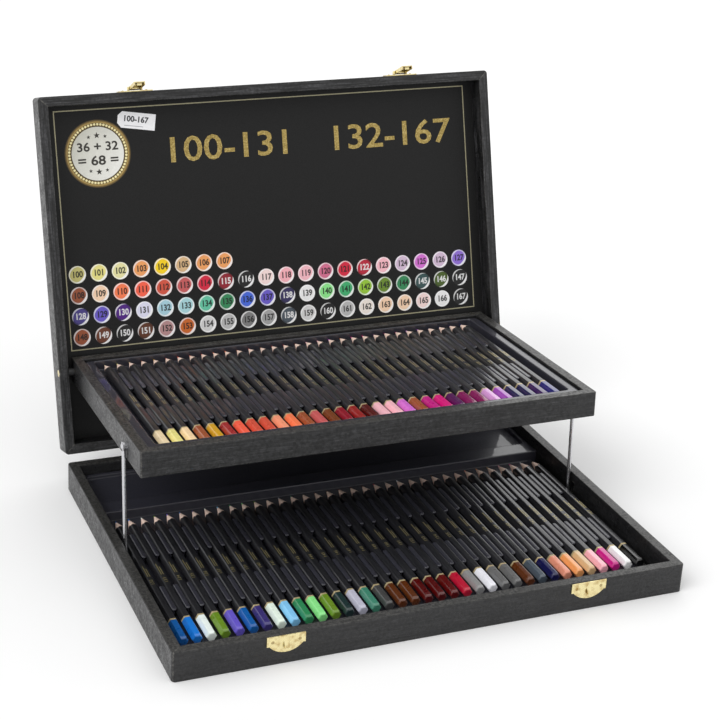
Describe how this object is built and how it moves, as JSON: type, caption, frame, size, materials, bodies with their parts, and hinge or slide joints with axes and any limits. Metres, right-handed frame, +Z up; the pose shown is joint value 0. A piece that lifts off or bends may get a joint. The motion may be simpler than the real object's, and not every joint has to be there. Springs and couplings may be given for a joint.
{
  "type": "pencil_drawer_box",
  "caption": "Black stained wooden pencil case, lid open, with a tray of coloured pencils lifted on steel rods above a lower row, brass latches and a printed colour chart in the lid",
  "frame": {"origin": "centre of the underside of the base", "axes": "X to the right along the length, Y from the front to the hinge side, Z up"},
  "size_m": [0.392, 0.3932, 0.3108],
  "materials": {
    "stained_wood": "black stained hardwood, matt, open grain",
    "stained_panel": "black stained plywood, matt",
    "insert_plastic": "vacuum-formed black sheet, glossy",
    "pencil_lacquer": "black lacquered cedar, satin, with painted ends",
    "chart_card": "printed card, satin varnish",
    "brass": "pressed brass-plated sheet, bright",
    "steel": "nickel-plated steel wire and screws, bright"
  },
  "bodies": {
    "base": {"base_front_wall": "stained_wood", "base_back_wall": "stained_wood", "base_left_wall": "stained_wood", "base_right_wall": "stained_wood", "base_bottom_panel": "stained_panel", "base_pencil_insert": "insert_plastic", "lower_pencils": "pencil_lacquer", "hinge_base_leaf_left": "brass", "hinge_base_leaf_right": "brass", "hinge_pin_left": "brass", "hinge_pin_right": "brass", "hinge_base_screws": "brass", "latch_keeper_left": "brass", "latch_keeper_right": "brass", "latch_keeper_nails": "brass"},
    "lid": {"lid_front_wall": "stained_wood", "lid_back_wall": "stained_wood", "lid_left_wall": "stained_wood", "lid_right_wall": "stained_wood", "lid_top_panel": "stained_panel", "colour_chart_card": "chart_card", "hinge_lid_leaf_left": "brass", "hinge_lid_leaf_right": "brass", "hinge_lid_screws": "brass", "latch_lid_plate_left": "brass", "latch_lid_plate_right": "brass", "latch_hasp_pin_left": "brass", "latch_hasp_pin_right": "brass", "latch_lid_nails": "brass", "tray_pivot_pin_left": "steel", "tray_pivot_pin_right": "steel", "tray_pivot_spacer_left": "steel", "tray_pivot_spacer_right": "steel"},
    "tray": {"tray_front_wall": "stained_wood", "tray_back_wall": "stained_wood", "tray_left_wall": "stained_wood", "tray_right_wall": "stained_wood", "tray_bottom_panel": "stained_panel", "tray_pencil_insert": "insert_plastic", "upper_pencils": "pencil_lacquer", "rod_screw_left": "steel", "rod_screw_right": "steel", "rod_washer_left": "steel", "rod_washer_right": "steel"},
    "left_rod": {"support_rod_left": "steel"},
    "right_rod": {"support_rod_right": "steel"},
    "left_hasp": {"latch_hasp_left": "brass"},
    "right_hasp": {"latch_hasp_right": "brass"}
  },
  "joints": [
    {"name": "lid_hinge", "type": "hinge", "parent": "base", "child": "lid", "pos_m": [0, 0.1465, 0.02315], "axis": [1, 0, 0], "range_deg": [0, 106.5]},
    {"name": "tray_pivot", "type": "hinge", "parent": "lid", "child": "tray", "pos_m": [0, 0.16939, 0.08917], "axis": [1, 0, 0], "range_deg": [-103.2, 0]},
    {"name": "left_rod_pivot", "type": "hinge", "parent": "tray", "child": "left_rod", "pos_m": [-0.18495, 0.01672, 0.09667], "axis": [1, 0, 0], "range_deg": [0, 79.43]},
    {"name": "right_rod_pivot", "type": "hinge", "parent": "tray", "child": "right_rod", "pos_m": [0.18495, 0.01672, 0.09667], "axis": [1, 0, 0], "range_deg": [0, 79.43]},
    {"name": "left_hasp_hinge", "type": "hinge", "parent": "lid", "child": "left_hasp", "pos_m": [-0.116, 0.2332, 0.30159], "axis": [1, 0, 0], "range_deg": [-100, 12]},
    {"name": "right_hasp_hinge", "type": "hinge", "parent": "lid", "child": "right_hasp", "pos_m": [0.116, 0.2332, 0.30159], "axis": [1, 0, 0], "range_deg": [-100, 12]}
  ],
  "couplings": [
    {"joint": "tray_pivot", "follows": "lid_hinge", "ratio": -0.96901},
    {"joint": "left_rod_pivot", "follows": "lid_hinge", "ratio": 0.74579},
    {"joint": "right_rod_pivot", "follows": "lid_hinge", "ratio": 0.74579}
  ]
}
